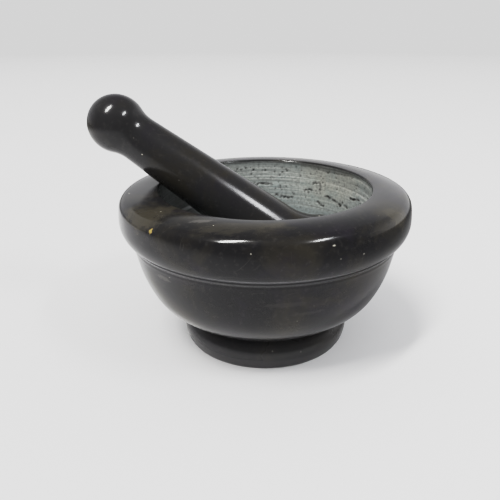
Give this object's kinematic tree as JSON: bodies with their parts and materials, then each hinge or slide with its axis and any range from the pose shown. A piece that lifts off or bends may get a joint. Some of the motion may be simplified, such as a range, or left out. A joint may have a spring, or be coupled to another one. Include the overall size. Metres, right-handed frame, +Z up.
{
  "type": "mortar and pestle",
  "caption": "Polished dark stone mortar with rolled rim, rough grey grinding bowl and turned foot, and a loose tapered stone pestle with a round knob leaning in it.",
  "frame": {"origin": "centre of the mortar's foot, on the surface it stands on", "axes": "+Z up along the mortar's axis of turning; -Y is the front; the pestle leans over the rim on the -X side"},
  "size_m": [0.1537, 0.14, 0.1196],
  "materials": {
    "mortar_stone": "mirror-polished near-black stone outside; inside the bowl the same stone is left rough and reads light grey",
    "pestle_stone": "mirror-polished near-black stone"
  },
  "bodies": {
    "mortar": {"mortar": "mortar_stone"},
    "pestle": {"pestle": "pestle_stone"}
  },
  "joints": [
    {"name": "pestle_lift", "type": "slide", "parent": "mortar", "child": "pestle", "axis": [0, 0, 1], "range_m": [0, 0.06]}
  ]
}
